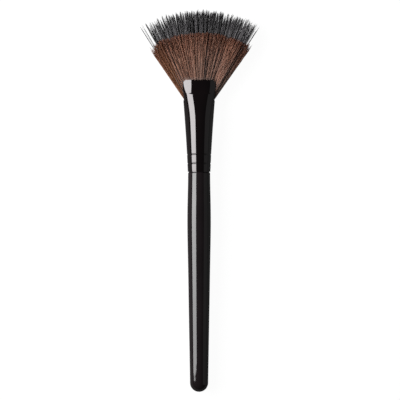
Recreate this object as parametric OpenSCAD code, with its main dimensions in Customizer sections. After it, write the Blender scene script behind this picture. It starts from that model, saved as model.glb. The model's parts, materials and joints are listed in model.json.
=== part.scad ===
// Fan make-up brush, lying flat as it comes to rest on a table.
// It is drawn standing on its butt, with the fan's width along X and its thickness along Y,
// and is then laid down with the hair towards +Y, on the handle's belly and the ferrule's fullest part.

/* [Handle] */
// Length of the lacquered handle, from its butt to the shoulder under the ferrule
handle_len = 110; // [95:0.5:130]
// Diameter of the handle where its domed butt begins
butt_d = 9.1; // [8:0.1:10.4]
// Diameter where the straight taper ends and the swell begins
swell_d = 10.95; // [10.5:0.05:11.5]
// Length of the swell below the belly
swell_len = 25.5; // [18:0.5:32]
// Diameter of the belly, the handle's widest place
belly_d = 11.75; // [11.2:0.05:13]
// Distance from the belly up to the shoulder
belly_drop = 24.5; // [18:0.5:32]
// Diameter of the neck under the ferrule
neck_d = 11.1; // [10.6:0.05:11.6]
// Distance from the neck up to the shoulder
neck_drop = 4.5; // [3:0.5:8]
// Radius of the rounded shoulder
shoulder_r = 0.7; // [0.3:0.1:1.2]
// Length of the tenon that is glued into the ferrule
tenon_len = 17.5; // [12:0.5:20]
// Chamfer on the tenon's end
tenon_chamfer = 0.8; // [0.3:0.1:1.5]

/* [Ferrule] */
// Height of the ferrule, from its rim to the top of its two lips
ferrule_len = 45.65; // [43:0.05:52]
// Thickness of the drawn metal wall
wall = 0.45; // [0.35:0.05:0.6]
// Outside diameter of the rim
rim_d = 11.3; // [11.1:0.1:12]
// Height of the round collar that is crimped on the tenon
collar_len = 9.65; // [8.5:0.05:12]
// Outside diameter at the top of the collar
collar_top_d = 12.2; // [11.9:0.1:12.6]
// Height at which the ferrule is fullest
full_h = 25; // [21:0.5:29]
// Width there
full_w = 14.15; // [13.6:0.05:14.8]
// Thickness there
full_t = 13.1; // [12.4:0.1:13.6]
// Height of the crease that the pinching die leaves
crease_h = 38.55; // [37.5:0.05:41]
// Width at the crease
crease_w = 16.25; // [15.8:0.05:16.8]
// Thickness just below the crease
crease_t = 9.7; // [9.2:0.1:10.4]
// Depth of the crease, where the die has pressed the faces flat
crease_depth = 0.6; // [0.3:0.05:0.7]
// Height over which the crease drops
crease_len = 0.8; // [0.4:0.05:1]
// Width of the flat on each face just below the crease
press_w = 3; // [1:0.1:3.6]
// Width of the flat on each face just above the crease
land_w = 5.6; // [4:0.1:6]
// Width of the flat on each face at the mouth
mouth_land_w = 1.5; // [0.5:0.1:2.5]
// Width of the pinched mouth before its sides are cut away
mouth_w = 18; // [17.4:0.1:18.8]
// Thickness of the mouth
mouth_t = 7.8; // [7.4:0.1:8.6]
// Radius of the mouth's sides
mouth_side_r = 1.65; // [1.4:0.05:2]
// Width of each lip
lip_w = 16.5; // [15.8:0.1:17.4]
// Radius of the lips' corners
lip_corner_r = 2.1; // [0.8:0.1:2.4]
// Width of the notch in each side, where the fan opens out
notch_w = 2.3; // [2.1:0.1:2.6]
// Height of the notch's bottom
notch_h = 35.2; // [33:0.05:36]
// Height of the lower crimp groove
crimp_low_h = 4.1; // [3:0.1:5]
// Height of the upper crimp groove
crimp_high_h = 8.6; // [7:0.1:9]
// Depth of a crimp groove
crimp_depth = 0.2; // [0.1:0.05:0.3]
// Width of a crimp groove
crimp_w = 0.9; // [0.6:0.1:1.2]
// Radius on the edges of the rim and of the lips
edge_r = 0.18; // [0.1:0.02:0.22]

/* [Hair] */
// Depth of the glue plug that holds the hair roots
plug_len = 10; // [6:0.5:12]
// Angle from the fan's middle to the outermost brown hair
fan_half = 33.5; // [28:0.5:36]
// Angle from the fan's middle to the outermost black fibre
black_half = 31.5; // [26:0.5:32]
// Length of the brown hair, from the point where the fan's lines meet
brown_r = 44.4; // [40:0.1:50]
// Length of the black fibres, from the same point
black_r = 55.8; // [51.5:0.1:61]
// Number of locks across each brown layer
brown_locks = 34; // [24:1:38]
// Number of locks across the black layer
black_locks = 40; // [28:1:44]
// Thickness of the brown hair at its tips, in the middle of the fan
brown_tip_t = 5.6; // [4.6:0.1:6.6]
// Thickness of the black tips, where they rise clear of the brown
black_tip_t = 3.4; // [2.6:0.1:4]
// Thickness of the black layer between the two brown ones
core_t = 1; // [0.8:0.05:1.1]
// Thickness of the fan at its two outer edges
fan_edge_t = 1.7; // [1.6:0.05:1.8]
// How far the notches between the brown locks reach in from the tips
brown_notch = 1.5; // [0.5:0.1:2.5]
// How far the notches between the black locks reach in from the tips
black_notch = 3.4; // [1:0.1:4.5]
// Depth of the furrows between the locks, at the tips
furrow = 0.55; // [0.2:0.05:0.7]
// Thickness of a lock at its thinnest edge
lock_edge = 0.12; // [0.1:0.01:0.2]

/* [Fits] */
// Clearance of the tenon, the plug and the hair inside the ferrule
fit_gap = 0.08; // [0.03:0.01:0.12]
// Clearance between the layers of hair
layer_gap = 0.05; // [0.02:0.01:0.1]
// Height of the open joint between the ferrule's rim and the handle's shoulder
joint_gap = 0.15; // [0.05:0.05:0.3]

/* [Quality] */
// Facets round the ferrule
ferrule_sides = 36; // [32:4:44]

/* [Hidden] */
lathe_fn = 96;
// Height of the ferrule's rim above the butt, and of the hair's roots
rim_z = handle_len + joint_gap;
root_z = handle_len + tenon_len + plug_len;
root_h = root_z - rim_z;
// How much the handle narrows from its neck to its shoulder
neck_taper = 0.05;
// How suddenly the flat on the ferrule's face widens up to the crease, where 1 is evenly
press_growth = 1.5;
// Share of its thickness that a brown lock keeps at its cut end, and a black one just before its point
brown_blunt = 0.6;
black_blunt = 0.75;
// How much thinner the brown and the black hair gets towards the fan's edges
brown_thinning = 0.8;
black_thinning = 0.9;
// Share of a notch's depth by which the locks differ in length, and least shares of a notch and of a furrow
ridge_uneven = 0.3;
least_notch = 0.65;
least_furrow = 0.35;
// Places of the rows along the free part of the black fibres
black_rows = [0, 0.22, 0.5, 0.78, 1];
// Share of the round section that the side arcs keep while the ferrule is still round
round_share = 0.92;
// Seeds of the uneven lengths and furrows
brown_seed = 11;
black_seed = 29;

// A smooth curve through stations [position, value], with the slope at each taken from its neighbours
function slope(s, k) =
    let (a = max(k - 1, 0), b = min(k + 1, len(s) - 1))
    (s[b][1] - s[a][1]) / (s[b][0] - s[a][0]);
function span_of(s, x, k = 0) = k >= len(s) - 2 || x <= s[k + 1][0] ? k : span_of(s, x, k + 1);
function smooth_at(s, x) =
    let (k = span_of(s, x), h = s[k + 1][0] - s[k][0], t = (x - s[k][0]) / h)
    s[k][1] * (1 + 2 * t) * pow(1 - t, 2) + s[k + 1][1] * t * t * (3 - 2 * t)
    + h * (slope(s, k) * t * pow(1 - t, 2) - slope(s, k + 1) * t * t * (1 - t));
function mix(a, b, t) = a + (b - a) * t;
function clamp01(t) = min(max(t, 0), 1);
// Equal steps from a to b, with the first left out
function steps(a, b, n) = [for (i = [1 : n]) mix(a, b, i / n)];

// The handle's diameter at height z
handle_stations = [
    [butt_d / 2, butt_d],
    [handle_len - belly_drop - swell_len, swell_d],
    [handle_len - belly_drop, belly_d],
    [handle_len - neck_drop, neck_d],
    [handle_len - shoulder_r, neck_d - neck_taper]
];
function handle_d(z) = smooth_at(handle_stations, z);
// The heights at which it is turned to size, and how many there are from each station to the next
handle_steps = [5, 10, 10, 3];
handle_heights = [
    for (k = [0 : 3]) each steps(handle_stations[k][0], handle_stations[k + 1][0], handle_steps[k])
];

// The ferrule's outside width and thickness at height h above its rim
width_stations = [
    [0, rim_d], [collar_len, collar_top_d], [full_h, full_w], [crease_h, crease_w], [ferrule_len, mouth_w]
];
thickness_stations = [
    [0, rim_d], [collar_len, collar_top_d], [full_h, full_t], [crease_h, crease_t],
    [ferrule_len, mouth_t + 2 * crease_depth]
];
// A crimp groove is half a wave deep, and the wall keeps its thickness in it
function groove(h, at) =
    abs(h - at) < crimp_w / 2 ? crimp_depth * pow(cos(180 * (h - at) / crimp_w), 2) : 0;
function crimps(h) = groove(h, crimp_low_h) + groove(h, crimp_high_h);
function crease(h) = crease_depth * clamp01((h - crease_h) / crease_len);
function half_w(h) = smooth_at(width_stations, h) / 2 - crimps(h);
function half_t(h) = h < collar_len ? half_w(h) : smooth_at(thickness_stations, h) / 2 - crease(h);
function side_r(h) = h < collar_len ? round_share * half_t(h)
    : min(mix(round_share * collar_top_d / 2, mouth_side_r, (h - collar_len) / (ferrule_len - collar_len)),
          round_share * half_t(h));

// Half the width of the flat on each face: it grows up to the crease, widens there, then narrows to the mouth
function land(h) = let (
    pressed = press_w * pow(clamp01((h - full_h) / (crease_h - full_h)), press_growth),
    flat = mix(land_w, mouth_land_w, clamp01((h - crease_h) / (ferrule_len - crease_h)))
) mix(pressed, flat, clamp01((h - crease_h) / crease_len)) / 2;

// The section is an oval. Each face is a flat between two wide arcs, and a small arc joins them at each side.
// face_r is the wide arcs' radius, and turn is the angle at which they run into the side arcs.
function arc_reach(h) = half_w(h) - side_r(h) - land(h);
function face_r(h) =
    let (b = half_t(h), r = side_r(h))
    (pow(arc_reach(h), 2) + b * b - r * r) / (2 * (b - r));
function turn(h) = atan2(arc_reach(h), face_r(h) - half_t(h));
// The point of the section, moved in by inset, whose outward direction is at angle p
function oval_point(h, inset, p) =
    let (a = half_w(h), b = half_t(h), r = side_r(h), big = face_r(h))
    abs(cos(p)) <= sin(turn(h))
        ? [(big - inset) * cos(p) + sign(cos(p)) * land(h),
           (big - inset) * sin(p) - sign(sin(p)) * (big - b)]
        : [(r - inset) * cos(p) + sign(cos(p)) * (a - r), (r - inset) * sin(p)];
function oval_ring(h, z, inset) = [
    for (i = [0 : ferrule_sides - 1])
        let (p = oval_point(h, inset, 360 * (i + 0.5) / ferrule_sides))
        [p[0], p[1], z]
];
// Half the section's thickness at a distance x from the middle
function oval_half_t(h, inset, x) =
    let (a = half_w(h), b = half_t(h), r = side_r(h), big = face_r(h))
    abs(x) - land(h) <= (big - inset) * sin(turn(h))
        ? sqrt(pow(big - inset, 2) - pow(max(abs(x) - land(h), 0), 2)) - (big - b)
        : sqrt(max(0, pow(r - inset, 2) - pow(abs(x) - (a - r), 2)));
// Half the section's width where its half thickness is y
function oval_half_w(h, inset, y) = half_w(h) - side_r(h) + sqrt(max(0, pow(side_r(h) - inset, 2) - y * y));

// Heights of the ferrule's rings, with close ones in the grooves and at the crease
function groove_rings(at) = [for (k = [-2 : 2]) at + k * crimp_w / 4];
ring_heights = concat(
    [edge_r], groove_rings(crimp_low_h), groove_rings(crimp_high_h),
    steps(crimp_high_h + crimp_w / 2, full_h, 4), steps(full_h, crease_h, 5), [crease_h + crease_len],
    steps(crease_h + crease_len, ferrule_len - edge_r, 2)
);
// The brush tips forward until it touches the table with the handle's belly and the ferrule's fullest part.
// The height of its axis above the table is then least at the butt, where it is butt_h.
rest_tilt = atan2((full_t - belly_d) / 2, rim_z + full_h - handle_len + belly_drop);
function underside(r, z) = r * cos(rest_tilt) - z * sin(rest_tilt);
butt_h = max(concat(
    [for (z = handle_heights) underside(handle_d(z) / 2, z)],
    [for (h = ring_heights) underside(oval_point(h, 0, 90 - 180 / ferrule_sides)[1], rim_z + h)]
));
tenon_r = half_w(crimp_low_h) - wall - fit_gap;

// Triangles of a grid of points, closed along each row, and from the last row to the first if loop
function ring_faces(rows, cols, loop) = [
    for (i = [0 : rows - (loop ? 1 : 2)], j = [0 : cols - 1], k = [0, 1])
        let (
            n = (i + 1) % rows, m = (j + 1) % cols,
            a = i * cols + j, b = i * cols + m, c = n * cols + m, d = n * cols + j
        )
        k == 0 ? [a, c, b] : [a, d, c]
];
// A wall between outer rings and inner rings of points, such as a tube of any section
module tube(outer, inner) {
    rings = concat(outer, [for (i = [len(inner) - 1 : -1 : 0]) inner[i]]);
    polyhedron([for (ring = rings) each ring], ring_faces(len(rings), len(rings[0]), true), convexity = 6);
}
// A solid skinned over rings of points, with flat ends
module skin(rings) {
    n = len(rings);
    m = len(rings[0]);
    polyhedron(
        [for (ring = rings) each ring],
        concat(
            [[for (j = [0 : m - 1]) j]],
            ring_faces(n, m, false),
            [[for (j = [m - 1 : -1 : 0]) (n - 1) * m + j]]
        ),
        convexity = 4
    );
}
// A sheet between a front and a back grid of points, closed round its border
module sheet(front, back) {
    n = len(front);
    m = len(front[0]);
    all = n * m;
    border = concat(
        [for (j = [0 : m - 1]) j], [for (i = [1 : n - 1]) i * m + m - 1],
        [for (j = [m - 2 : -1 : 0]) (n - 1) * m + j], [for (i = [n - 2 : -1 : 1]) i * m]
    );
    cells = [for (i = [0 : n - 2], j = [0 : m - 2]) i * m + j];
    polyhedron(
        [for (grid = [front, back]) for (row = grid) each row],
        concat(
            [for (a = cells) each [[a, a + m + 1, a + 1], [a, a + m, a + m + 1]]],
            [for (a = cells) let (b = all + a) each [[b, b + 1, b + m + 1], [b, b + m + 1, b + m]]],
            [for (k = [0 : len(border) - 1]) let (a = border[k], b = border[(k + 1) % len(border)])
                each [[a, b, all + b], [a, all + b, all + a]]]
        ),
        convexity = 10
    );
}

// Lays a standing brush down on its back, on the table
module lay_flat() {
    middle = (fan_z + black_r) / 2;
    translate([0, -middle * cos(rest_tilt), butt_h]) rotate([rest_tilt - 90, 0, 0]) children();
}

// Turned wood: a domed butt, a long taper, a swell, a neck and a tenon
module handle() {
    tenon_top = handle_len + tenon_len;
    dome = [for (i = [0 : 24]) let (a = 90 * i / 24) [butt_d / 2 * sin(a), butt_d / 2 * (1 - cos(a))]];
    shoulder_x = handle_d(handle_len - shoulder_r) / 2 - shoulder_r;
    shoulder_z = handle_len - shoulder_r;
    color([0.05, 0.045, 0.05]) lay_flat() rotate_extrude($fn = lathe_fn) polygon(concat(
        dome,
        [for (z = handle_heights) [handle_d(z) / 2, z]],
        [for (a = [10 : 10 : 90]) [shoulder_x + shoulder_r * cos(a), shoulder_z + shoulder_r * sin(a)]],
        [[tenon_r, handle_len], [tenon_r, tenon_top - tenon_chamfer]],
        [[tenon_r - tenon_chamfer, tenon_top], [0, tenon_top]]
    ));
}

// Drawn metal tube: round and crimped on the tenon, then pinched to two lips with a notch at each side
module ferrule() {
    color([0.02, 0.018, 0.02]) lay_flat() translate([0, 0, rim_z]) difference() {
        intersection() {
            tube(
                concat([oval_ring(0, 0, edge_r)], [for (h = ring_heights) oval_ring(h, h, 0)],
                       [oval_ring(ferrule_len, ferrule_len, edge_r)]),
                concat([oval_ring(0, 0, wall)], [for (h = ring_heights) oval_ring(h, h, wall)],
                       [oval_ring(ferrule_len, ferrule_len, wall)])
            );
            lip_blank();
        }
        notch();
    }
}
// Outline of the ferrule from the front, with the lips' rounded corners, drawn through its whole thickness
module lip_blank() {
    reach = mouth_w;
    rotate([90, 0, 0]) linear_extrude(2 * reach, center = true) {
        translate([-reach, -1]) square([2 * reach, crease_h + 1]);
        translate([-lip_w / 2, 0]) square([lip_w, ferrule_len - lip_corner_r]);
        translate([-lip_w / 2 + lip_corner_r, 0]) square([lip_w - 2 * lip_corner_r, ferrule_len + 1]);
        for (side = [-1, 1])
            translate([side * (lip_w / 2 - lip_corner_r), ferrule_len - lip_corner_r])
                circle(lip_corner_r, $fn = 48);
    }
}
// The round-bottomed notch through both sides
module notch() {
    rotate([90, 0, 90]) linear_extrude(2 * mouth_w, center = true) {
        translate([0, notch_h + notch_w / 2]) circle(notch_w / 2, $fn = 48);
        translate([-notch_w / 2, notch_h + notch_w / 2]) square([notch_w, ferrule_len]);
    }
}

// Cured resin round the hair roots, filling the ferrule above the tenon
module glue_plug() {
    bottom_h = root_h - plug_len;
    color([0.72, 0.6, 0.4]) lay_flat() translate([0, 0, rim_z])
        skin([for (h = concat([bottom_h], steps(bottom_h, root_h, 3))) oval_ring(h, h, wall + fit_gap)]);
}

// The fan's lines run parallel in the ferrule, bend at the notches and then spread from one point, at fan_z.
// A line is named by its angle, and a place on it by its distance r from that point, counted from the bend.
edge_y = fan_edge_t / 2;
inset = wall + fit_gap;
bend_h = notch_h + notch_w / 2 - sqrt(max(0, pow(notch_w / 2, 2) - pow(edge_y + 2 * fit_gap, 2)));
bend_z = rim_z + bend_h;
fan_z = bend_z - oval_half_w(bend_h, inset, edge_y) / tan(fan_half);
function bend_r(angle) = (bend_z - fan_z) / cos(angle);
// Where the line leaves the ferrule: over a lip, or through a notch
function exit_r(angle) = min(
    (rim_z + ferrule_len - fan_z) / cos(angle), lip_w / 2 / max(sin(abs(angle)), 0.01)
);
// Where it passes the crease, or the middle of its way out where it leaves below the crease
function crease_r(angle) = min(
    (rim_z + crease_h + crease_len - fan_z) / cos(angle), mix(bend_r(angle), exit_r(angle), 0.5)
);
// Places inside the ferrule, and from there on along the fan
function root_place(angle, h) = [oval_half_w(h, inset, edge_y) * tan(angle) / tan(fan_half), rim_z + h];
function fan_place(angle, r) = [r * sin(angle), fan_z + r * cos(angle)];
// Half the thickness that the ferrule leaves for the hair at a place
function room(place) = max(edge_y, oval_half_t(min(place[1] - rim_z, ferrule_len), inset, place[0]));
// Half the hair's thickness at its tips
function tip_half_t(angle, tip_t, thinning) = tip_t / 2 * sqrt(1 - thinning * pow(angle / fan_half, 2));
// Half the brown hair's thickness on a line at r: all its room in the ferrule, and from there on less or more
function body_t(angle, r) =
    let (out = exit_r(angle), tip = max(edge_y, tip_half_t(angle, brown_tip_t, brown_thinning)))
    r <= out ? room(fan_place(angle, r))
    : mix(room(fan_place(angle, out)), tip, clamp01((r - out) / (brown_r - out)));

// Each lock has a ridge and shares the furrow on either side. Lines are odd on ridges and even in furrows.
// The two outermost lines and the middle one reach the full length. luck is the lines' own random numbers.
function lock_angle(j, locks, half) = half * (j / locks - 1);
function tip_r(j, locks, full, notch_depth, luck) =
    j % locks == 0 ? full
    : j % 2 == 1 ? full - ridge_uneven * notch_depth * luck[j]
    : full - notch_depth * mix(least_notch, 1, luck[j]);
function furrow_at(j, locks, luck) =
    j % 2 == 1 || j % locks == 0 ? 0 : furrow * mix(least_furrow, 1, luck[j]);

// Short brown hair: one layer in front of the black fibres and one behind
module brown_hair() {
    color([0.36, 0.2, 0.14]) lay_flat()
        for (face = [0, 1]) mirror([0, face, 0]) brown_layer(brown_seed + face);
}
module brown_layer(seed) {
    lines = 2 * brown_locks;
    luck = rands(0, 1, lines + 1, seed);
    inner_y = core_t / 2 + layer_gap;
    grid = [
        for (k = [0 : 8]) [for (j = [0 : lines])
            let (
                angle = lock_angle(j, brown_locks, fan_half),
                end_r = tip_r(j, brown_locks, brown_r, brown_notch, luck),
                out = exit_r(angle),
                creased = crease_r(angle),
                inside = [0, bend_r(angle), creased, mix(creased, out, 0.5), out],
                r = k <= 4 ? inside[k] : mix(out, end_r, (k - 4) / 4),
                place = k == 0 ? root_place(angle, root_h) : fan_place(angle, r),
                full = k == 0 ? room(place) : body_t(angle, r),
                grown = k <= 4 ? 0 : (k - 4) / 4,
                deep = full - inner_y - grown * furrow_at(j, brown_locks, luck)
            )
            [place, inner_y + max(deep * (k == 8 ? brown_blunt : 1), lock_edge)]
        ]
    ];
    sheet(
        [for (row = grid) [for (p = row) [p[0][0], -p[1], p[0][1]]]],
        [for (row = grid) [for (p = row) [p[0][0], -inner_y, p[0][1]]]]
    );
}

// Long black fibres: a thin layer between the brown ones, which opens out into pointed locks beyond them
module black_hair() {
    lines = 2 * black_locks;
    luck = rands(0, 1, lines + 1, black_seed);
    clear_r = brown_r + layer_gap;
    grid = [
        for (k = [0 : 7]) [for (j = [0 : lines])
            let (
                angle = lock_angle(j, black_locks, black_half),
                end_r = tip_r(j, black_locks, black_r, black_notch, luck),
                free_r = mix(clear_r + layer_gap, end_r, black_rows[max(k - 3, 0)]),
                r = k < 3 ? [0, bend_r(angle), clear_r][k] : free_r,
                place = k == 0 ? root_place(angle, root_h) : fan_place(angle, r),
                full = max(core_t / 2, tip_half_t(angle, black_tip_t, black_thinning)),
                open = mix(full, full - furrow_at(j, black_locks, luck), (k - 3) / 3),
                half = k < 3 ? core_t / 2 : k < 6 ? open : k < 7 ? black_blunt * open : lock_edge
            )
            [place, max(half, lock_edge)]
        ]
    ];
    color([0.1, 0.1, 0.11]) lay_flat() sheet(
        [for (row = grid) [for (p = row) [p[0][0], -p[1], p[0][1]]]],
        [for (row = grid) [for (p = row) [p[0][0], p[1], p[0][1]]]]
    );
}

handle();
ferrule();
glue_plug();
brown_hair();
black_hair();
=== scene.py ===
import json
import math
import random

import bmesh
import bpy
from mathutils import Matrix, Vector


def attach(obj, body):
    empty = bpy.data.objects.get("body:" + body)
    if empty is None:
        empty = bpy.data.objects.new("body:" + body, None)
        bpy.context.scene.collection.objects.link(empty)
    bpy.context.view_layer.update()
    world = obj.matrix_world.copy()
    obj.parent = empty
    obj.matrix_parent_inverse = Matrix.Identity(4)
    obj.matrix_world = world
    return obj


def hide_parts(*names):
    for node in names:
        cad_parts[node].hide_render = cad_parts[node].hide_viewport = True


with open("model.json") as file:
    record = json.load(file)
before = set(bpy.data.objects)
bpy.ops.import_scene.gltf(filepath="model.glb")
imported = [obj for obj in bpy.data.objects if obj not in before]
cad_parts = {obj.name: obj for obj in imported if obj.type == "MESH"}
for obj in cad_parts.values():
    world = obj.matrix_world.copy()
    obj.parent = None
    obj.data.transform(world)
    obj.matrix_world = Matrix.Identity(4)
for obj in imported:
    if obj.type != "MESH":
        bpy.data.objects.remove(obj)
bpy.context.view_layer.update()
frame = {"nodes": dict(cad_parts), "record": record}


# Camera: straight above the brush, on a long lens, with 200 mm of table across the picture.
# The brush lies fan level on the table, and its axis stands a little left of the middle of the picture.
MM = 0.001
picture_width = 200 * MM
lens = 120.0
sensor = 36.0

# Pieces are drawn for a level brush, with x across, y along from the butt and z up, and laid down by this
belly_from_butt = 85.5 * MM
grip = frame["record"]["mounts"][0]
run = Vector(grip["axis"]).normalized()
butt = Vector(grip["pos_m"]) - run * belly_from_butt
lay_down = Matrix.Translation(butt) @ Matrix.Rotation(math.atan2(run.z, run.y), 4, "X")

picture_middle = lay_down @ Vector((0.45 * MM, 96.05 * MM, 0))
camera = bpy.data.objects.new("camera", bpy.data.cameras.new("camera"))
camera.data.lens = lens
camera.data.sensor_width = sensor
camera.data.clip_start = 0.01
camera.location = picture_middle + Vector((0, 0, picture_width * lens / sensor))
bpy.context.scene.collection.objects.link(camera)
bpy.context.scene.camera = camera


# Handle: turned from one piece of wood, with a tenon that the ferrule hides.
# It is dipped in several coats of black lacquer and polished to a mirror.
def feed(tree, socket, value):
    """Links value to socket if it is another node's output, and else sets it."""
    if isinstance(value, bpy.types.NodeSocket):
        tree.links.new(value, socket)
    else:
        socket.default_value = value


def add(tree, kind, **values):
    """A new node. Values named as its properties set those; the rest feed inputs, by name or as i0, i1."""
    node = tree.nodes.new(kind)
    inputs = {}
    for name, value in values.items():
        if hasattr(node, name):
            setattr(node, name, value)
        else:
            inputs[name] = value
    for name, value in inputs.items():
        numbered = name[0] == "i" and name[1:].isdigit()
        feed(tree, node.inputs[int(name[1:]) if numbered else name], value)
    return node


class Sums:
    """Writes sums as math nodes, so that a tree's formulas can be read as such."""

    def __init__(self, tree):
        self.tree = tree

    def __call__(self, operation, *given):
        node = self.tree.nodes.new("ShaderNodeMath")
        node.operation = operation
        for socket, value in zip(node.inputs, given):
            feed(self.tree, socket, value)
        return node.outputs[0]

    def plus(self, *given):
        total = given[0]
        for value in given[1:]:
            total = self("ADD", total, value)
        return total

    def minus(self, a, b):
        return self("SUBTRACT", a, b)

    def times(self, *given):
        total = given[0]
        for value in given[1:]:
            total = self("MULTIPLY", total, value)
        return total

    def over(self, a, b):
        return self("DIVIDE", a, b)

    def mix(self, a, b, t):
        return self("MULTIPLY_ADD", self.minus(b, a), t, a)

    def clamped(self, a, low=0.0, high=1.0):
        return self("MINIMUM", self("MAXIMUM", a, low), high)


def new_material(name):
    """A new material, and its Principled shader."""
    material = bpy.data.materials.new(name)
    material.use_nodes = True
    return material, material.node_tree.nodes["Principled BSDF"]


def polished_coat_group():
    """Shader node group: the small unevenness of a polished coat. Gives roughness and a normal."""
    group = bpy.data.node_groups.new("polished_coat", "ShaderNodeTree")
    for name, at_first in (("Roughness", 0.03), ("Unevenness", 0.01), ("Ripple Height", 0.00001)):
        socket = group.interface.new_socket(name=name, in_out="INPUT", socket_type="NodeSocketFloat")
        socket.default_value = at_first
    group.interface.new_socket(name="Stretch", in_out="INPUT", socket_type="NodeSocketVector")
    group.interface.new_socket(name="Roughness", in_out="OUTPUT", socket_type="NodeSocketFloat")
    group.interface.new_socket(name="Normal", in_out="OUTPUT", socket_type="NodeSocketVector")
    given = group.nodes.new("NodeGroupInput").outputs
    made = group.nodes.new("NodeGroupOutput")
    do = Sums(group)
    place = add(group, "ShaderNodeTexCoord").outputs["Object"]
    drawn = add(group, "ShaderNodeMapping", Vector=place, Scale=given["Stretch"]).outputs[0]
    haze = add(group, "ShaderNodeTexNoise", Vector=drawn, Scale=220.0, Detail=4.0).outputs["Fac"]
    ripple = add(group, "ShaderNodeTexNoise", Vector=drawn, Scale=900.0, Detail=2.0).outputs["Fac"]
    rough = do.plus(given["Roughness"], do.times(do.minus(haze, 0.5), given["Unevenness"]))
    bump = add(group, "ShaderNodeBump", Strength=1.0, Distance=given["Ripple Height"], Height=ripple)
    group.links.new(rough, made.inputs["Roughness"])
    group.links.new(bump.outputs[0], made.inputs["Normal"])
    return group


polished_coat = polished_coat_group()


def polish(material, shader, roughness, unevenness, ripple, stretch):
    """Puts the polished coat's roughness and normal on a shader."""
    tree = material.node_tree
    coat = add(tree, "ShaderNodeGroup", node_tree=polished_coat)
    coat.inputs["Roughness"].default_value = roughness
    coat.inputs["Unevenness"].default_value = unevenness
    coat.inputs["Ripple Height"].default_value = ripple
    coat.inputs["Stretch"].default_value = stretch
    tree.links.new(coat.outputs["Roughness"], shader.inputs["Roughness"])
    tree.links.new(coat.outputs["Normal"], shader.inputs["Normal"])


def depth_of_black(material, shader, dark, light, scale):
    """Black that is a little deeper in some places than in others, as brushed and dipped coats are."""
    tree = material.node_tree
    place = add(tree, "ShaderNodeTexCoord").outputs["Object"]
    cloud = add(tree, "ShaderNodeTexNoise", Vector=place, Scale=scale, Detail=3.0).outputs["Fac"]
    ramp = add(tree, "ShaderNodeValToRGB", Fac=cloud)
    ramp.color_ramp.elements[0].position = 0.35
    ramp.color_ramp.elements[0].color = (*dark, 1)
    ramp.color_ramp.elements[1].position = 0.7
    ramp.color_ramp.elements[1].color = (*light, 1)
    tree.links.new(ramp.outputs[0], shader.inputs["Base Color"])


lacquer, shader = new_material("black_lacquer")
depth_of_black(lacquer, shader, dark=(0.0105, 0.0077, 0.0086), light=(0.0145, 0.0105, 0.012), scale=60.0)
polish(lacquer, shader, roughness=0.035, unevenness=0.03, ripple=0.000004, stretch=(1.0, 0.35, 1.0))
shader.inputs["IOR"].default_value = 1.66
handle = frame["nodes"]["handle"]
handle.data.materials.clear()
handle.data.materials.append(lacquer)


# Ferrule: a seamless metal tube, drawn to a taper, crimped in two grooves on the tenon and pinched to an
# oval at its mouth, where its sides are notched so that the hair can fan out. It is coated glossy black.
ferrule_from_butt = 110.15
ferrule_height = 45.65
wall = 0.45
collar_height, collar_top = 9.65, 6.1
fullest_at, crease_at = 25.0, 38.3
half_widths = ((0, 5.65), (collar_height, collar_top), (fullest_at, 7.075), (crease_at, 8.125),
               (ferrule_height, 9.0))
half_depths = ((0, 5.65), (collar_height, collar_top), (fullest_at, 6.55), (crease_at, 4.62),
               (ferrule_height, 4.45))
crease_depth, crease_height = 0.6, 0.8
flat_below_crease, flat_above_crease, flat_at_mouth = 1.3, 3.2, 0.8
flat_growth, flat_fades_over = 1.5, 2.2
grooves_at, groove_depth, groove_width = (4.1, 8.6), 0.2, 0.9
round_share, mouth_side_radius = 0.92, 1.45
lip_half_width, lip_corner = 8.25, 2.1
notch_bottom, notch_radius = 35.2, 1.15
columns = 72


def mix(a, b, t):
    return a + (b - a) * t


def clamped(t):
    return min(max(t, 0.0), 1.0)


def smooth_at(stations, x):
    """A smooth curve through stations (position, value), with each slope taken from the neighbours."""
    last = len(stations) - 1

    def slope(k):
        a, b = stations[max(k - 1, 0)], stations[min(k + 1, last)]
        return (b[1] - a[1]) / (b[0] - a[0])

    k = 0
    while k < last - 1 and x > stations[k + 1][0]:
        k += 1
    (x0, y0), (x1, y1) = stations[k], stations[k + 1]
    h = x1 - x0
    t = (x - x0) / h
    return (y0 * (1 + 2 * t) * (1 - t) ** 2 + y1 * t * t * (3 - 2 * t)
            + h * (slope(k) * t * (1 - t) ** 2 - slope(k + 1) * t * t * (1 - t)))


def section(height):
    """The tube's oval: half its width and depth, radius of its side and wide arcs, and half of its flat."""
    groove = sum(groove_depth * math.cos(math.pi * (height - at) / groove_width) ** 2
                 for at in grooves_at if abs(height - at) < groove_width / 2)
    creased = clamped((height - crease_at) / crease_height)
    half_width = smooth_at(half_widths, height) - groove
    if height < collar_height:
        half_depth = half_width
        side = round_share * half_depth
    else:
        half_depth = smooth_at(half_depths, height) - crease_depth * creased
        share = (height - collar_height) / (ferrule_height - collar_height)
        side = min(mix(round_share * collar_top, mouth_side_radius, share), round_share * half_depth)
    below = flat_below_crease * clamped((height - fullest_at) / (crease_at - fullest_at)) ** flat_growth
    above = mix(flat_at_mouth, flat_above_crease, math.exp(min(crease_at - height, 0) / flat_fades_over))
    flat = mix(below, above, creased)
    wide = ((half_width - side - flat) ** 2 + half_depth ** 2 - side ** 2) / (2 * (half_depth - side))
    return half_width, half_depth, side, wide, flat


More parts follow.
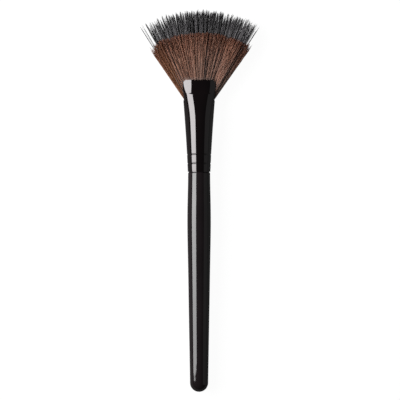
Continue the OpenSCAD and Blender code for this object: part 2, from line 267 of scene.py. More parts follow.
def first_turn(height):
    """Angle round the oval where its front half starts: 0 at the side, more past a notch or a corner."""
    half_width, half_depth, side, wide, flat = section(height)
    reach = max(height - notch_bottom, 0)
    notch = notch_radius
    if reach < notch_radius:
        notch = math.sqrt(notch_radius ** 2 - (reach - notch_radius) ** 2)
    turn = math.asin(min(notch / side, 1)) if reach > 0 else 0
    over = max(height - (ferrule_height - lip_corner), 0)
    limit = lip_half_width - lip_corner + math.sqrt(max(lip_corner ** 2 - over ** 2, 0))
    on_side = (limit - (half_width - side)) / side
    if on_side < 1:
        join = math.pi / 2 - math.atan2(half_width - side - flat, wide - half_depth)
        cut = math.acos(max(on_side, -1))
        turn = max(turn, cut if cut < join else math.acos((limit - flat) / wide))
    return turn


def oval_point(height, turn):
    """The point of the oval whose outward direction is at angle turn, as x across and z up."""
    half_width, half_depth, side, wide, flat = section(height)
    bend = math.atan2(half_width - side - flat, wide - half_depth)
    x, z = math.cos(turn), math.sin(turn)
    if abs(x) <= math.sin(bend):
        return wide * x + math.copysign(flat, x), wide * z - math.copysign(wide - half_depth, z)
    return side * x + math.copysign(half_width - side, x), side * z


def between(low, high, count):
    """Even steps from low to high, without low itself."""
    return [mix(low, high, k / count) for k in range(1, count + 1)]


def ferrule_heights():
    """Heights of the rows: close together where the tube is grooved, creased or cut."""
    heights = [0.0]
    for at in grooves_at:
        heights += between(heights[-1], at - groove_width / 2, 4)
        heights += between(heights[-1], at + groove_width / 2, 16)
    heights += between(heights[-1], notch_bottom, 44)
    heights += [notch_bottom + notch_radius * (1 - math.cos(math.pi / 2 * k / 12)) for k in range(1, 13)]
    heights += between(heights[-1], crease_at, 8)
    heights += between(crease_at, crease_at + crease_height, 6)
    heights += between(heights[-1], ferrule_height - lip_corner, 12)
    heights += [ferrule_height - lip_corner * (1 - math.sin(math.pi / 2 * k / 14)) for k in range(1, 15)]
    return heights


def drawn_tube():
    """The outer skin of the tube, front half and back half joined below the notches."""
    mesh = bmesh.new()
    for face in (1, -1):
        rows = []
        for height in ferrule_heights():
            start = first_turn(height)
            row = []
            for k in range(columns + 1):
                x, z = oval_point(height, mix(start, math.pi - start, k / columns))
                row.append(mesh.verts.new(Vector((x, ferrule_from_butt + height, face * z)) * MM))
            rows.append(row)
        for low, high in zip(rows, rows[1:]):
            for k in range(columns):
                ring = (low[k], low[k + 1], high[k + 1], high[k])
                mesh.faces.new(ring if face < 0 else tuple(reversed(ring)))
    bmesh.ops.remove_doubles(mesh, verts=mesh.verts, dist=0.002 * MM)
    for face in mesh.faces:
        face.smooth = True
    bmesh.ops.transform(mesh, matrix=lay_down, verts=mesh.verts)
    return mesh


def new_piece(name, mesh, material, node):
    """Shows mesh as a piece of the brush, in place of a node of the frame."""
    piece = bpy.data.objects.new(name, mesh)
    bpy.context.scene.collection.objects.link(piece)
    mesh.materials.clear()
    mesh.materials.append(material)
    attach(piece, "root")
    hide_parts(node)
    return piece


coating, shader = new_material("black_coating")
depth_of_black(coating, shader, dark=(0.0028, 0.0015, 0.0018), light=(0.0038, 0.002, 0.0024), scale=90.0)
polish(coating, shader, roughness=0.03, unevenness=0.03, ripple=0.000003, stretch=(1.6, 0.3, 1.0))
shader.inputs["IOR"].default_value = 1.82
shader.inputs["Specular Tint"].default_value = (1.0, 0.955, 0.965, 1)
skin = bpy.data.meshes.new("drawn_ferrule")
tube = drawn_tube()
tube.to_mesh(skin)
tube.free()
ferrule = new_piece("drawn_ferrule", skin, coating, "ferrule")
thickness = ferrule.modifiers.new("wall", "SOLIDIFY")
thickness.thickness = wall * MM
thickness.offset = -1
thickness.use_even_offset = True
edges = ferrule.modifiers.new("rolled_edges", "BEVEL")
edges.width = 0.14 * MM
edges.segments = 3
edges.limit_method = "ANGLE"
edges.angle_limit = math.radians(50)
edges.harden_normals = False


# Glue plug: clear resin, poured round the hair roots inside the ferrule and cured there.
# It is amber, with small bubbles and hair that shows through as darker streaks.
resin, shader = new_material("amber_resin")
tree = resin.node_tree
place = add(tree, "ShaderNodeTexCoord").outputs["Object"]
drawn = add(tree, "ShaderNodeMapping", Vector=place, Scale=(1.0, 0.1, 1.0)).outputs[0]
streaks = add(tree, "ShaderNodeTexNoise", Vector=drawn, Scale=900.0, Detail=3.0).outputs["Fac"]
ramp = add(tree, "ShaderNodeValToRGB", Fac=streaks)
ramp.color_ramp.elements[0].color = (0.2, 0.1, 0.03, 1)
ramp.color_ramp.elements[1].color = (0.55, 0.38, 0.16, 1)
tree.links.new(ramp.outputs[0], shader.inputs["Base Color"])
bubbles = add(tree, "ShaderNodeTexVoronoi", Vector=place, Scale=1200.0).outputs["Distance"]
bump = add(tree, "ShaderNodeBump", Distance=0.00005, Height=bubbles)
tree.links.new(bump.outputs[0], shader.inputs["Normal"])
shader.inputs["Roughness"].default_value = 0.18
plug = frame["nodes"]["glue_plug"]
plug.data.materials.clear()
plug.data.materials.append(resin)


# Brown hair: straight soft hair, cut to one length, in a layer in front of the black fibres and one behind.
# It is glued into the ferrule, bends at the notches and spreads from one point, thinner at the sides.
edge_half_depth = 0.85
notch_clearance = 0.16
room_gap = 0.53
brown_reach = 44.4
brown_half_turn = math.radians(34.1)
edge_room = edge_half_depth + notch_clearance
bend_height = notch_bottom + notch_radius - math.sqrt(notch_radius ** 2 - edge_room ** 2)
bend_half_width, _, bend_side, _, _ = section(bend_height)
widest_inside = bend_half_width - bend_side + math.sqrt((bend_side - room_gap) ** 2 - edge_half_depth ** 2)
fan_meets = ferrule_from_butt + bend_height - widest_inside / math.tan(brown_half_turn)
fan_sizes = {
    "Meeting Point": fan_meets * MM,
    "Bend": (ferrule_from_butt + bend_height - fan_meets) * MM,
    "Lip": (ferrule_from_butt + ferrule_height - fan_meets) * MM,
    "Lip Half Width": lip_half_width * MM,
    "Mouth Half Width": 8.5 * MM,
    "Mouth Half Depth": 3.05 * MM,
    "Edge Half Depth": edge_half_depth * MM,
    "Half Turn": brown_half_turn,
    "Root": 1.5 * MM,
}
strand_sizes = ("Diameter", "Tip Diameter", "Taper", "Lock Spread", "Lock Depth", "Gather", "Pull",
                "Pull Start", "Uneven Length", "Stray", "Weave", "Sway", "Tip Half Depth", "Thinning",
                "Full At", "Crowding")


def bristle_tree():
    """Geometry nodes: grows strands from locks of hair, one point each, along the lines of the fan."""
    tree = bpy.data.node_groups.new("bristles", "GeometryNodeTree")
    tree.interface.new_socket(name="Bristles", in_out="OUTPUT", socket_type="NodeSocketGeometry")
    tree.interface.new_socket(name="Locks", in_out="INPUT", socket_type="NodeSocketGeometry")
    inputs = ((("Strands", "Points", "Seed"), "Int"), ((*fan_sizes, *strand_sizes), "Float"),
              (("Finish",), "Material"))
    for names, kind in inputs:
        for name in names:
            tree.interface.new_socket(name=name, in_out="INPUT", socket_type="NodeSocket" + kind)
    given = tree.nodes.new("NodeGroupInput").outputs
    out = tree.nodes.new("NodeGroupOutput")
    do = Sums(tree)

    def named(name):
        node = tree.nodes.new("GeometryNodeInputNamedAttribute")
        node.data_type = "FLOAT"
        node.inputs["Name"].default_value = name
        return node.outputs[0]

    def store(geometry, name, value):
        node = tree.nodes.new("GeometryNodeStoreNamedAttribute")
        node.data_type = "FLOAT"
        node.domain = "POINT"
        feed(tree, node.inputs["Geometry"], geometry)
        node.inputs["Name"].default_value = name
        feed(tree, node.inputs["Value"], value)
        return node.outputs[0]

    def chance(low, high, number):
        node = tree.nodes.new("FunctionNodeRandomValue")
        node.data_type = "FLOAT"
        enabled = [socket for socket in node.inputs if socket.enabled]
        for socket, value in zip(enabled, (low, high)):
            feed(tree, socket, value)
        feed(tree, node.inputs["Seed"], do.plus(given["Seed"], float(number)))
        return [socket for socket in node.outputs if socket.enabled][0]

    def drift(across, along, number):
        """A smooth change from lock to lock and along each lock, between -0.5 and 0.5."""
        level = do.plus(do.times(named("depth"), 9.0), number)
        place = add(tree, "ShaderNodeCombineXYZ", X=across, Y=along, Z=level)
        noise = add(tree, "ShaderNodeTexNoise", Vector=place.outputs[0], Scale=1.0, Detail=1.0)
        return do.minus(noise.outputs[0], 0.5)

    # Each lock's point becomes its strands, each with its own place in the lock and its own length
    points = add(tree, "GeometryNodeMeshToPoints", Mesh=given["Locks"]).outputs[0]
    copies = tree.nodes.new("GeometryNodeDuplicateElements")
    copies.domain = "POINT"
    feed(tree, copies.inputs["Geometry"], points)
    feed(tree, copies.inputs["Amount"], given["Strands"])
    strands = copies.outputs["Geometry"]
    strands = store(strands, "off_turn", do.times(chance(-1.0, 1.0, 1), given["Lock Spread"]))
    strands = store(strands, "off_depth", do.times(chance(-1.0, 1.0, 2), given["Lock Depth"]))
    shortfall = do.times(do("POWER", chance(0.0, 1.0, 3), 1.6), given["Uneven Length"])
    strands = store(strands, "length", do.times(named("reach"), do.minus(1.0, shortfall)))
    strands = store(strands, "stray", do.times(chance(-1.0, 1.0, 4), given["Stray"]))
    strands = store(strands, "shade", chance(0.0, 1.0, 6))
    line = add(tree, "GeometryNodeCurvePrimitiveLine").outputs[0]
    even = add(tree, "GeometryNodeResampleCurve", Curve=line, Count=given["Points"]).outputs[0]
    placed = add(tree, "GeometryNodeInstanceOnPoints", Points=strands, Instance=even).outputs[0]
    curves = add(tree, "GeometryNodeRealizeInstances", Geometry=placed).outputs[0]

    # How far each point of a strand lies from the point where the fan's lines meet: the first is hidden in
    # the ferrule, the second lies at the bend, and the rest stand closer together towards the tip
    along = add(tree, "GeometryNodeSplineParameter").outputs["Factor"]
    turn = do.plus(named("turn"), named("off_turn"))
    bend = do.over(given["Bend"], do("COSINE", turn))
    length = named("length")
    first = do.over(1.0, do.minus(given["Points"], 1.0))
    past_first = do.clamped(do.over(do.minus(along, first), do.minus(1.0, first)))
    onward = do("POWER", past_first, given["Crowding"])
    hidden = do.times(given["Root"], do.clamped(do.minus(1.0, do.over(along, first))))
    reach = do.minus(do.mix(bend, length, onward), hidden)
    over_lip = do.over(given["Lip"], do("COSINE", turn))
    past_side = do.over(given["Lip Half Width"], do("MAXIMUM", do("ABSOLUTE", do("SINE", turn)), 0.01))
    leaves = do("MINIMUM", over_lip, past_side)
    free = do.clamped(do.over(do.minus(reach, leaves), do.minus(length, leaves)))
    pulled = do.clamped(do.over(do.minus(free, given["Pull Start"]), do.minus(1.0, given["Pull Start"])))

    # Strands of a lock close up towards its tip, locks lean to the middle of their tuft, and all of them
    # weave a little
    gather = do.times(given["Gather"], free)
    pull = do.times(given["Pull"], do("POWER", pulled, 1.3))
    apart = do.plus(do.times(named("turn"), 200.0), do.times(named("shade"), 9.0))
    sway = do.times(given["Sway"], drift(apart, do.times(reach, 350.0), 3.0), free)
    weave = do.times(given["Weave"], drift(apart, do.times(reach, 340.0), 40.0), free)
    in_lock = do.times(named("off_turn"), do.minus(1.0, gather))
    own = do.plus(in_lock, do.times(named("stray"), free, free), sway)
    final_turn = do.plus(do.mix(named("turn"), named("aim"), pull), own)
    depth = do.plus(named("depth"), do.times(named("off_depth"), do.minus(1.0, gather)), weave)
    depth = do.clamped(depth, -1.0, 1.0)

    # The hair fills the mouth of the ferrule, and its thickness changes from there to the tips
    across = do.over(do.times(leaves, do("SINE", turn)), given["Mouth Half Width"])
    rounded = do("POWER", do("MAXIMUM", do.minus(1.0, do.times(across, across)), 0.0), 0.65)
    exit_depth = do("MAXIMUM", do.times(rounded, given["Mouth Half Depth"]), given["Edge Half Depth"])
    side = do.over(turn, given["Half Turn"])
    spread = do("SQRT", do("MAXIMUM", do.minus(1.0, do.times(side, side, given["Thinning"])), 0.04))
    grown = do.clamped(do.over(do.minus(reach, leaves), do.minus(given["Full At"], leaves)))
    half_depth = do.mix(exit_depth, do.times(spread, given["Tip Half Depth"]), grown)
    inside = do("MINIMUM", do.minus(reach, bend), 0.0)
    outside = do("MAXIMUM", do.minus(reach, bend), 0.0)
    x = do.plus(do.times(do("TANGENT", turn), given["Bend"]), do.times(outside, do("SINE", final_turn)))
    y = do.plus(given["Meeting Point"], given["Bend"], inside, do.times(outside, do("COSINE", final_turn)))
    where = add(tree, "ShaderNodeCombineXYZ", X=x, Y=y, Z=do.times(depth, half_depth)).outputs[0]
    curves = store(curves, "distance", reach)
    curves = add(tree, "GeometryNodeSetPosition", Geometry=curves, Position=where).outputs[0]
    curves = store(curves, "free", free)

    # A tapered tube of three sides, closed at both ends, is drawn along each strand
    tapered = do.mix(given["Diameter"], given["Tip Diameter"], do("POWER", free, given["Taper"]))
    ring = add(tree, "GeometryNodeCurvePrimitiveCircle", Resolution=3, Radius=1.0).outputs[0]
    tubes = tree.nodes.new("GeometryNodeCurveToMesh")
    feed(tree, tubes.inputs["Curve"], curves)
    feed(tree, tubes.inputs["Profile Curve"], ring)
    feed(tree, tubes.inputs["Scale"], do.times(tapered, 0.5))
    tubes.inputs["Fill Caps"].default_value = True
    smooth = add(tree, "GeometryNodeSetShadeSmooth", Geometry=tubes.outputs[0]).outputs[0]
    real = add(tree, "GeometryNodeRealizeInstances", Geometry=smooth).outputs[0]
    finished = add(tree, "GeometryNodeSetMaterial", Geometry=real, Material=given["Finish"]).outputs[0]
    tree.links.new(finished, out.inputs["Bristles"])
    return tree


bristles = bristle_tree()


def grow(name, locks, finish, node, slot, **sizes):
    """Grows and shows the strands of locks, each given as turn, aim, depth, reach, tone and warmth, whose
    negative values are painted shade.
    """
    seedbed = bpy.data.meshes.new(name + "_locks")
    seedbed.from_pydata([(0, 0, 0)] * len(locks), [], [])
    for k, attribute in enumerate(("turn", "aim", "depth", "reach", "tone", "warmth_and_shade")):
        values = seedbed.attributes.new(attribute, "FLOAT", "POINT").data
        values.foreach_set("value", [lock[k] for lock in locks])
    bed = bpy.data.objects.new(name + "_locks", seedbed)
    bpy.context.scene.collection.objects.link(bed)
    modifier = bed.modifiers.new("bristles", "NODES")
    modifier.node_group = bristles
    sizes = {**fan_sizes, **sizes, "Finish": finish}
    for item in bristles.interface.items_tree:
        if item.in_out == "INPUT" and item.name in sizes:
            modifier[item.identifier] = sizes[item.name]
    grown = bed.evaluated_get(bpy.context.evaluated_depsgraph_get())
    mesh = bpy.data.meshes.new_from_object(grown)
    mesh.name = name
    bpy.data.objects.remove(bed)
    mesh.transform(lay_down)
    new_piece(name, mesh, finish, node)


def strand_grain_group():
    """Shader node group: lights and darks along the strands, and from lock to lock and strand to strand."""
    group = bpy.data.node_groups.new("strand_grain", "ShaderNodeTree")
    for name, at_first in (("Lock Share", 0.6), ("Streak Share", 0.4), ("Strand Share", 0.2)):
        socket = group.interface.new_socket(name=name, in_out="INPUT", socket_type="NodeSocketFloat")
        socket.default_value = at_first
    group.interface.new_socket(name="Tone", in_out="OUTPUT", socket_type="NodeSocketFloat")
    given = group.nodes.new("NodeGroupInput").outputs
    made = group.nodes.new("NodeGroupOutput")
    do = Sums(group)

    def read(attribute):
        return add(group, "ShaderNodeAttribute", attribute_name=attribute).outputs["Fac"]

    across = do.times(read("turn"), 90.0)
    along = do.times(read("distance"), 140.0)
    level = do.plus(do.times(read("depth"), 5.0), read("shade"))
    place = add(group, "ShaderNodeCombineXYZ", X=across, Y=along, Z=level).outputs[0]
    noise = add(group, "ShaderNodeTexNoise", Vector=place, Scale=1.0, Detail=2.0).outputs["Fac"]
    by_lock = do.times(do.minus(read("tone"), 0.5), given["Lock Share"])
    by_streak = do.times(do.minus(noise, 0.5), given["Streak Share"])
    by_strand = do.times(do.minus(read("shade"), 0.5), given["Strand Share"])
    tone = do.plus(0.5, by_lock, by_streak, by_strand)
    group.links.new(do.clamped(tone), made.inputs["Tone"])
    return group


strand_grain = strand_grain_group()


def hair_material(name, tones, roughness, shares):
    """A hair finish, its shader, and the colour that its dark, middling and light strands have so far."""
    material, shader = new_material(name)
    tree = material.node_tree
    grain = add(tree, "ShaderNodeGroup", node_tree=strand_grain)
    for socket, share in zip(grain.inputs, shares):
        socket.default_value = share
    ramp = add(tree, "ShaderNodeValToRGB", Fac=grain.outputs["Tone"])
    ramp.color_ramp.elements[0].color = (*tones[0], 1)
    ramp.color_ramp.elements[1].color = (*tones[2], 1)
    ramp.color_ramp.elements.new(0.5).color = (*tones[1], 1)
    shader.inputs["Roughness"].default_value = roughness
    return material, shader, ramp.outputs[0]


def tint(tree, colour, other, share):
    """Blends colour towards other by share."""
    node = add(tree, "ShaderNodeMix", data_type="RGBA")
    for socket, value in ((node.inputs[0], share), (node.inputs[6], colour), (node.inputs[7], other)):
        feed(tree, socket, value)
    return node.outputs[2]


def fact(tree, name):
    """What the strands' attribute of this name says."""
    return add(tree, "ShaderNodeAttribute", attribute_name=name).outputs["Fac"]


brown_tones = ((0.016, 0.007, 0.005), (0.21, 0.084, 0.0545), (0.465, 0.238, 0.16))
# The dark tint is painted shade for the right side of the fan, away from the lamp; warm and ruddy are hair
# colour
warm_brown, painted_shade_brown, ruddy_brown = (0.125, 0.042, 0.01, 1), (0.03, 0.018, 0.014, 1), (0.4, 0.16, 0.1, 1)
# The grey tint is painted sheen on the lower fan, and the pale one is painted light that the lip throws on
# the hair
painted_sheen_grey, painted_lip_light = (0.23, 0.157, 0.135, 1), (0.28, 0.205, 0.18, 1)
sheen_turn, lip_half_turn = 0.17, 0.37

brown, shader, colour = hair_material("brown_hair", brown_tones, roughness=0.5, shares=(0.45, 2.5, 2.7))
tree = brown.node_tree
do = Sums(tree)
turn, free, warmth_and_shade = fact(tree, "turn"), fact(tree, "free"), fact(tree, "warmth_and_shade")

# Locks are warmer at the left edge; at the right edge a dark tint is painted shade, for the side away from
# the lamp
colour = tint(tree, colour, warm_brown, do.clamped(do.times(warmth_and_shade, 0.8)))
colour = tint(tree, colour, painted_shade_brown, do.clamped(do.times(warmth_and_shade, -0.8)))

# Painted sheen: a pale grey tint on the lower part of the fan, a little right of its middle, stands in for
# the hair's sheen
near_root = do.clamped(do.minus(0.6, do.times(free, 0.6)), 0.0, 0.35)
off_sheen = do("ABSOLUTE", do.minus(turn, sheen_turn))
near_sheen = do.clamped(do.minus(1.8, do.times(off_sheen, 4.5)))
colour = tint(tree, colour, painted_sheen_grey, do.times(near_root, near_sheen))

# A narrow pale band along the lip is painted light from the lip's edge on the hair, and the tips are ruddy
past_lip = do.minus(do.times(fact(tree, "distance"), do("COSINE", turn)), fan_sizes["Lip"])
over_lip = do.clamped(do.times(do.minus(lip_half_turn, do("ABSOLUTE", turn)), 20.0))
at_lip = do.clamped(do.minus(0.7, do.times(past_lip, 400.0)))
colour = tint(tree, colour, painted_lip_light, do.times(at_lip, over_lip))
outer_half = do.times(do.minus(free, 0.5), 0.5)
tip = do.times(do.clamped(do.minus(free, 0.94)), 6.0)
colour = tint(tree, colour, ruddy_brown, do.clamped(do.plus(outer_half, tip), 0.0, 0.5))
tree.links.new(colour, shader.inputs["Base Color"])
shader.inputs["Specular IOR Level"].default_value = 0.2

# Across the fan, in degrees from its middle: how light the hair is, how unevenly it is cut, how much
# shorter it is and how far it leans
brown_tone_across = ((-34, -0.1), (-31, 0), (-28, 0.1), (-22, -0.38), (-19, -0.2), (-15, 0.9), (-10, 0.6),
                     (-6, 0.2), (0, 0.12), (10, 0.38), (14, 0.1), (19, 0), (21.5, 1.7), (25, 2.3),
                     (27.5, 2.4), (29, 1.2), (30.5, 0.1))
uneven_across = ((-34, 8), (-33, 7), (-31, 5), (-29, 2.5), (-27, 0), (31, 0), (32, 0.8), (33, 2), (34, 4))
short_across = ((-34, 1.2), (-31.5, 0), (31, 0), (32, -1.2), (33, -2.6), (34, -1.4))
lean_across = ((-34, 0), (22, 0), (28, 3.5), (34, 1))

# The creases past which the hair changes colour, the locks along each edge, as side, count, how far out and
# warmth, and those that lie on top, as turn, aim, tone and warmth
left_crease, right_crease = math.radians(-25.4), math.radians(27.8)
edge_locks = ((-1, 9, 1.0, 0.9), (1, 14, 1.015, -1.4))
# Of the locks on top, those of tone 0 are dark lines of painted shade along the creases, and along partings
# where black fibres show
over_locks = ((5.8, 5.5, 0, -1.1), (14.8, 13.4, 0, -1.1), (-22.3, -22.2, 0, -1.1), (27.8, 28.0, 0, -0.9),
              (28.1, 28.6, 0.9, -0.2), (28.5, 29.0, 0.7, -0.3), (29.0, 29.4, 0.6, -0.4),
              (28.3, 27.9, 0.7, -0.3), (30.3, 30.0, 0, -1.1), (-26.1, -26.6, 0, 0.9),
              (-26.7, -27.3, 0, 0.9))
lock_tones = (0.0, 0.3, 0.4, 0.5, 0.5, 0.6, 0.7, 1.0)
brown_level_depths = (0.12, 0.42, 0.7)
brown_locks_across = 116
least_tuft, most_tuft = math.radians(1.5), math.radians(3.0)
brown_tuft_point = 22.0
longer_at_edges = 1.1


def spaced(luck, low, high, least, most):
    """Uneven steps from low to high."""
    places = [low]
    while places[-1] < high:
        places.append(places[-1] + luck.uniform(least, most))
    return places


def nearest(places, at):
    return min(places, key=lambda place: abs(place - at))


def along(table, x):
    """The value at x in a table of (place, value), straight from one row to the next."""
    for (x0, y0), (x1, y1) in zip(table, table[1:]):
        if x <= x1:
            return mix(y0, y1, clamped((x - x0) / (x1 - x0)))
    return table[-1][1]


def brown_layer(seed, face):
    """Locks of one brown layer: three levels that bunch at their tips, then its edges, then its top."""
    luck = random.Random(seed)
    edge = 1.02 * brown_half_turn
    tufts = spaced(luck, -edge, edge, least_tuft, most_tuft)
    tuft_reach = {tuft: brown_reach + luck.uniform(-0.6, 0.3) for tuft in tufts}
    locks = []
    for least_depth in brown_level_depths:
        for k in range(brown_locks_across):
            place = (k + 0.5 + luck.uniform(-0.45, 0.45)) / brown_locks_across
            turn = brown_half_turn * (2 * place - 1)
            tuft = nearest(tufts, turn)
            wide = abs(turn) / brown_half_turn
            off_tuft = brown_tuft_point * abs(turn - tuft) * luck.random()
            reach = tuft_reach[tuft] + longer_at_edges * wide ** 2 - off_tuft - luck.random() ** 3
            depth = least_depth + luck.uniform(0.0, 0.26)
            tone = luck.choice(lock_tones) + along(brown_tone_across, math.degrees(turn))
            warmth_and_shade = luck.uniform(-0.2, 0.3)
            if turn < left_crease:
                depth *= 0.75
                warmth_and_shade = luck.uniform(0.6, 1.2)
            # Past the right crease the locks lie lower, and their negative warmth paints shade on them
            if turn > right_crease:
                depth *= 0.6
                warmth_and_shade = luck.uniform(-1.4, -0.3)
                turn *= 1.0 + 0.022 * clamped((wide - 0.85) / 0.15)
            degrees = math.degrees(turn)
            reach -= luck.random() * along(uneven_across, degrees) + along(short_across, degrees)
            aim = tuft if wide < 0.9 else turn
            aim += math.radians(along(lean_across, degrees))
            locks.append((turn, aim, face * depth, reach * MM, tone, warmth_and_shade))
    for side, count, widest, warmth_and_shade in edge_locks:
        for _ in range(count):
            turn = side * brown_half_turn * luck.uniform(0.94, widest)
            depth = luck.uniform(0.2, 0.7)
            reach = brown_reach - luck.uniform(1.5, 8.0)
            locks.append((turn, turn, face * depth, reach * MM, 0.2, warmth_and_shade))
    for turn, aim, tone, warmth_and_shade in over_locks:
        turn, aim = math.radians(turn), math.radians(aim)
        locks.append((turn, aim, face * 0.9, (brown_reach + 0.4) * MM, tone, warmth_and_shade))
    return locks


brown_sizes = {
    "Strands": 7,
    "Points": 13,
    "Diameter": 0.2 * MM,
    "Tip Diameter": 0.05 * MM,
    "Taper": 4.0,
    "Lock Spread": math.radians(0.28),
    "Lock Depth": 0.07,
    "Gather": 0.1,
    "Pull": 0.25,
    "Pull Start": 0.3,
    "Uneven Length": 0.02,
    "Stray": 0.004,
    "Weave": 0.5,
    "Sway": 0.03,
    "Tip Half Depth": 2.75 * MM,
    "Thinning": 0.8,
    "Full At": brown_reach * MM,
    "Crowding": 0.75,
}
brown_front, brown_back = brown_layer(seed=3, face=1), brown_layer(seed=4, face=-1)
grow("brown_front", brown_front, brown, "brown_hair", "brown_hair", Seed=30, **brown_sizes)
grow("brown_back", brown_back, brown, "brown_hair", "brown_hair", Seed=40, **brown_sizes)


# Black fibres: fine tapered filaments, longer than the brown hair. They run between its two layers
# and open out beyond it into soft pointed locks, with a few single ones past each side of the fan.
# Their middling and light tones are grey: the fibres' own black, with their sheen painted into the colour
black_and_sheen_tones = ((0.0022, 0.002, 0.0023), (0.05, 0.0465, 0.0505), (0.206, 0.195, 0.206))
black, shader, colour = hair_material("black_fibre", black_and_sheen_tones, roughness=0.42, shares=(0.9, 1.8, 1.6))
black.node_tree.links.new(colour, shader.inputs["Base Color"])
shader.inputs["Specular IOR Level"].default_value = 0.3

# Across the fan, in degrees from its middle: the bold locks that lie on top, how many where they aren't
# three, the thin places, what share of the locks is left out, and how light they are
black_reach = 56.0
black_left, black_right = -29.2, 30.9
bold_locks = (-28.8, -22.3, -19.6, -17.3, -9.9, -6.2, -3.8, -0.9, 2.1, 4.1, 7.8, 8.8, 11.2, 11.9, 12.5,
              15.3, 17.3, 20.5, 23.0, 27.5, 30.4)
bold_counts = {-28.8: 5, 30.4: 2}
thin_places, thin_half_width, thin_share = (-27.7, -27.3, -24.8, -20.3, -18.5, 14.0, 24.8, 28.7), 0.2, 0.65
left_out_across = ((-29, 0.55), (-25.2, 0.57), (-24.8, 0.4), (-17.2, 0.3), (-16.8, 0), (26, 0), (27, 0.45),
                   (31, 0.45))
black_tone_across = ((-30, 0.75), (-27, 0.85), (-20, 0.95), (-16, 0.64), (-4, 0.7), (4, 0.68), (7, 0.36),
                     (12, 0.34), (15, 1.3), (25, 1.5), (28, 1.9), (31, 1.6))
field_locks = 500
black_tuft_point = 4.2


def cut_short(luck, turn):
    """How much a black lock falls short of its tuft: little in the middle, and more to each side."""
    if -10 < turn < 13:
        return luck.random() ** 1.5 * 1.9
    if -18 < turn <= -10:
        return luck.random() ** 1.2 * 2.6
    return luck.random() * 4.2


def black_layer(seed, face):
    """Locks of half the black layer: a field, thinned evenly where it is thin, and bold locks on it."""
    luck = random.Random(seed)
    shape = random.Random(77)
    tufts = spaced(shape, -29.0, 14.0, 0.9, 1.5) + spaced(shape, 15.4, 30.4, 0.55, 0.85)
    tuft_tone = {tuft: shape.uniform(-0.2, 0.2) for tuft in tufts}
    tuft_reach = {tuft: black_reach - shape.random() * 0.8 for tuft in tufts}
    locks = []
    owed = luck.random()
    for k in range(field_locks):
        turn = mix(black_left, black_right, (k + luck.random()) / field_locks)
        in_thin_place = min(abs(turn - place) for place in thin_places) < thin_half_width
        owed += thin_share if in_thin_place else along(left_out_across, turn)
        if owed >= 1:
            owed -= 1
            continue
        tuft = nearest(tufts, turn)
        longer_right = 1.8 * clamped((turn - 15) / 13)
        reach = tuft_reach[tuft] + longer_right - black_tuft_point * abs(turn - tuft) * luck.random()
        tone = along(black_tone_across, turn) + tuft_tone[tuft] + luck.uniform(-0.25, 0.25)
        reach -= cut_short(luck, turn)
        locks.append((turn, tuft, luck.uniform(0.0, 0.85), reach, tone))
    for angle in bold_locks:
        for _ in range(bold_counts.get(angle, 3)):
            turn = angle + luck.uniform(-0.2, 0.2)
            depth = luck.uniform(0.85, 1.0)
            locks.append((turn, angle, depth, black_reach - luck.random() * 0.8, 0.0))
    return [(math.radians(turn), math.radians(aim), face * depth, reach * MM, tone, 0)
            for turn, aim, depth, reach, tone in locks]


black_sizes = {
    "Strands": 6,
    "Points": 10,
    "Diameter": 0.12 * MM,
    "Tip Diameter": 0.04 * MM,
    "Taper": 9.0,
    "Lock Spread": math.radians(0.15),
    "Lock Depth": 0.1,
    "Gather": 0.4,
    "Pull": 0.32,
    "Pull Start": 0.6,
    "Uneven Length": 0.02,
    "Stray": 0.005,
    "Weave": 0.1,
    "Sway": 0.02,
    "Tip Half Depth": 1.6 * MM,
    "Thinning": 0.9,
    "Full At": brown_reach * MM,
    "Crowding": 0.5,
    "Mouth Half Depth": 0.9 * MM,
}
black_front, black_back = black_layer(seed=5, face=1), black_layer(seed=6, face=-1)
grow("black_front", black_front, black, "black_hair", "black_fibre", Seed=50, **black_sizes)
grow("black_back", black_back, black, "black_hair", "black_fibre", Seed=60, **black_sizes)

# Single fibres past each side: the middle of each group in degrees, how far they wander, and how many
stray_groups = ((-31.9, 0.22, 20), (-31.2, 0.1, 3), (-30.6, 0.14, 14), (31.2, 0.15, 9), (31.7, 0.1, 2),
                (32.4, 0.22, 34))


def stray_fibres(seed):
    """The single fibres, each as a lock of one strand."""
    luck = random.Random(seed)
    fibres = []
    for middle, wander, count in stray_groups:
        for _ in range(count):
            turn = math.radians(middle + luck.uniform(-wander, wander))
            reach = black_reach + luck.uniform(-3.5, 0.6)
            fibres.append((turn, turn, luck.uniform(-0.4, 0.4), reach * MM, 0.3, 0))
    return fibres


stray_sizes = {
    **black_sizes,
    "Strands": 1,
    "Diameter": 0.2 * MM,
    "Taper": 6.0,
    "Lock Spread": math.radians(0.03),
    "Sway": 0.004,
    "Stray": 0.001,
}
grow("black_strays", stray_fibres(seed=7), black, "black_hair", "black_fibre", Seed=70, **stray_sizes)


# Table and light: a tall soft box to the left, a little dimmer towards the butt, gives the bright strip
# along the brush, and a dim card to the right its grey edge. The table looks white and the ceiling is dark.
# None of it is part of the brush.
def soft_box(name, angle, half_angle, distance, low, high, power):
    """A flat rectangular lamp beside the brush, at angle from overhead, from low to high along it."""
    light = bpy.data.lights.new(name, "AREA")
    light.shape = "RECTANGLE"
    light.size = 2 * distance * math.tan(half_angle)
    light.size_y = high - low
    light.energy = power * light.size * light.size_y
    lamp = bpy.data.objects.new(name, light)
    lamp.location = (math.sin(angle) * distance, (low + high) / 2, math.cos(angle) * distance + butt.z)
    lamp.rotation_euler = (0, angle, 0)
    bpy.context.scene.collection.objects.link(lamp)
    return lamp


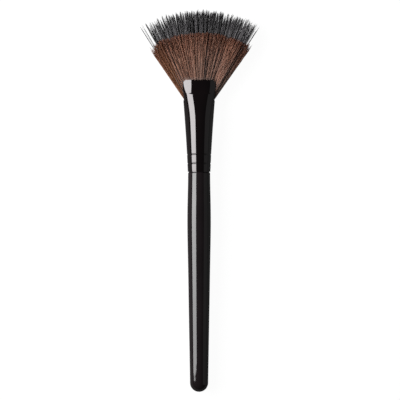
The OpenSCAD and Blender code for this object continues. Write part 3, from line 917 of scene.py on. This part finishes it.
strip_box = soft_box("strip_box", angle=math.radians(-52.1), half_angle=math.radians(21.8), distance=0.45,
                     low=-0.17, high=0.42, power=22.0)
strip_box.data.use_nodes = True
tree = strip_box.data.node_tree
position = add(tree, "ShaderNodeNewGeometry").outputs["Position"]
place = add(tree, "ShaderNodeSeparateXYZ", Vector=position).outputs["Y"]
fade = {"Value": place, "From Min": -0.134, "From Max": 0.01, "To Min": 0.69, "To Max": 1.0}
brightness = add(tree, "ShaderNodeMapRange", **fade).outputs["Result"]
feed(tree, tree.nodes["Emission"].inputs["Strength"], brightness)
soft_box("right_card", angle=math.radians(73.2), half_angle=math.radians(24.8), distance=0.6,
         low=-0.3, high=0.4, power=0.42)

table_half = 2
table_mesh = bpy.data.meshes.new("table")
table_corners = [(-table_half, -table_half, 0), (table_half, -table_half, 0), (table_half, table_half, 0),
                 (-table_half, table_half, 0)]
table_mesh.from_pydata(table_corners, [], [(0, 1, 2, 3)])
table = bpy.data.objects.new("table", table_mesh)
bpy.context.scene.collection.objects.link(table)
table_top = bpy.data.materials.new("table_top")
table_top.use_nodes = True
tree = table_top.node_tree
tree.nodes.clear()
do = Sums(tree)
matte = add(tree, "ShaderNodeBsdfDiffuse", Color=(0.07, 0.07, 0.07, 1))
rays = add(tree, "ShaderNodeLightPath").outputs
in_reflections = do.times(rays["Is Glossy Ray"], 0.06)
seen = do.clamped(do.plus(rays["Is Camera Ray"], in_reflections, rays["Is Transmission Ray"]))
glow = add(tree, "ShaderNodeEmission", Color=(1, 1, 1, 1), Strength=do.times(seen, 0.965))
both = add(tree, "ShaderNodeAddShader", i0=matte.outputs[0], i1=glow.outputs[0])
tree.links.new(both.outputs[0], add(tree, "ShaderNodeOutputMaterial").inputs["Surface"])
table_mesh.materials.append(table_top)

room_light, backdrop_light = 0.03, 1.0
world = bpy.data.worlds.new("room")
bpy.context.scene.world = world
world.use_nodes = True
tree = world.node_tree
tree.nodes.clear()
rays = add(tree, "ShaderNodeLightPath").outputs
strength = Sums(tree).mix(room_light, backdrop_light, rays["Is Camera Ray"])
air = add(tree, "ShaderNodeBackground", Color=(1, 1, 1, 1), Strength=strength)
tree.links.new(air.outputs[0], add(tree, "ShaderNodeOutputWorld").inputs["Surface"])
bpy.context.scene.view_settings.view_transform = "Standard"
